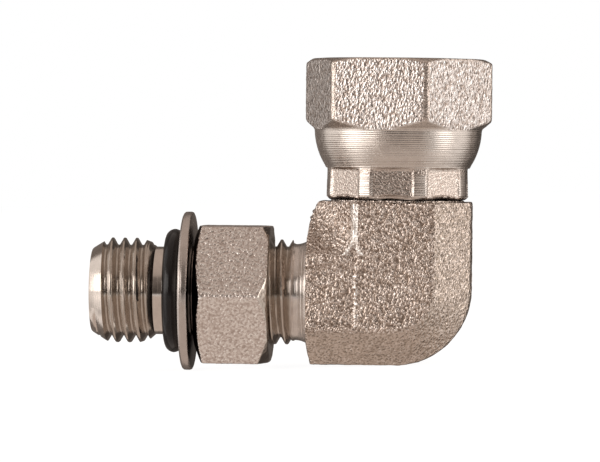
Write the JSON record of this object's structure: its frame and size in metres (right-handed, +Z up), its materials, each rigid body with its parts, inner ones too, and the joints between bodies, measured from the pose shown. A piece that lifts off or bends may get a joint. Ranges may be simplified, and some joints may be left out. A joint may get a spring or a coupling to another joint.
{
  "type": "hydraulic elbow adapter",
  "caption": "Right-angle steel hydraulic adapter: adjustable O-ring stud with lock nut and backup washer on one leg, crimped female swivel nut on the other.",
  "frame": {"origin": "where the axes of the two ports cross", "axes": "+Z up along the swivel nut's axis, -X along the stud, the foot of the forging faces -Z"},
  "size_m": [0.0418, 0.019, 0.0328],
  "materials": {
    "forged_steel": "zinc plated over a shot-blasted forging",
    "turned_steel": "zinc plated, turned and crimped",
    "nut_steel": "zinc plated, satin",
    "washer_steel": "zinc plated, tumbled edge",
    "seal_rubber": "smooth black nitrile"
  },
  "bodies": {
    "elbow": {"elbow_body": "forged_steel"},
    "swivel": {"swivel_nut": "turned_steel"},
    "seal": {"backup_washer": "washer_steel", "o_ring": "seal_rubber"},
    "lock": {"lock_nut": "nut_steel"}
  },
  "joints": [
    {"name": "swivel_turn", "type": "hinge", "parent": "elbow", "child": "swivel", "pos_m": [0, 0, 0.017], "axis": [0, 0, 1], "continuous": true},
    {"name": "nut_travel", "type": "slide", "parent": "elbow", "child": "seal", "axis": [1, 0, 0], "range_m": [-0.00064, 0.00191]},
    {"name": "nut_turn", "type": "hinge", "parent": "seal", "child": "lock", "pos_m": [-0.0171, 0, 0], "axis": [1, 0, 0], "range_deg": [-180.5, 540.5]}
  ],
  "couplings": [
    {"joint": "nut_turn", "follows": "nut_travel", "rad_per_m": 4947.4}
  ]
}
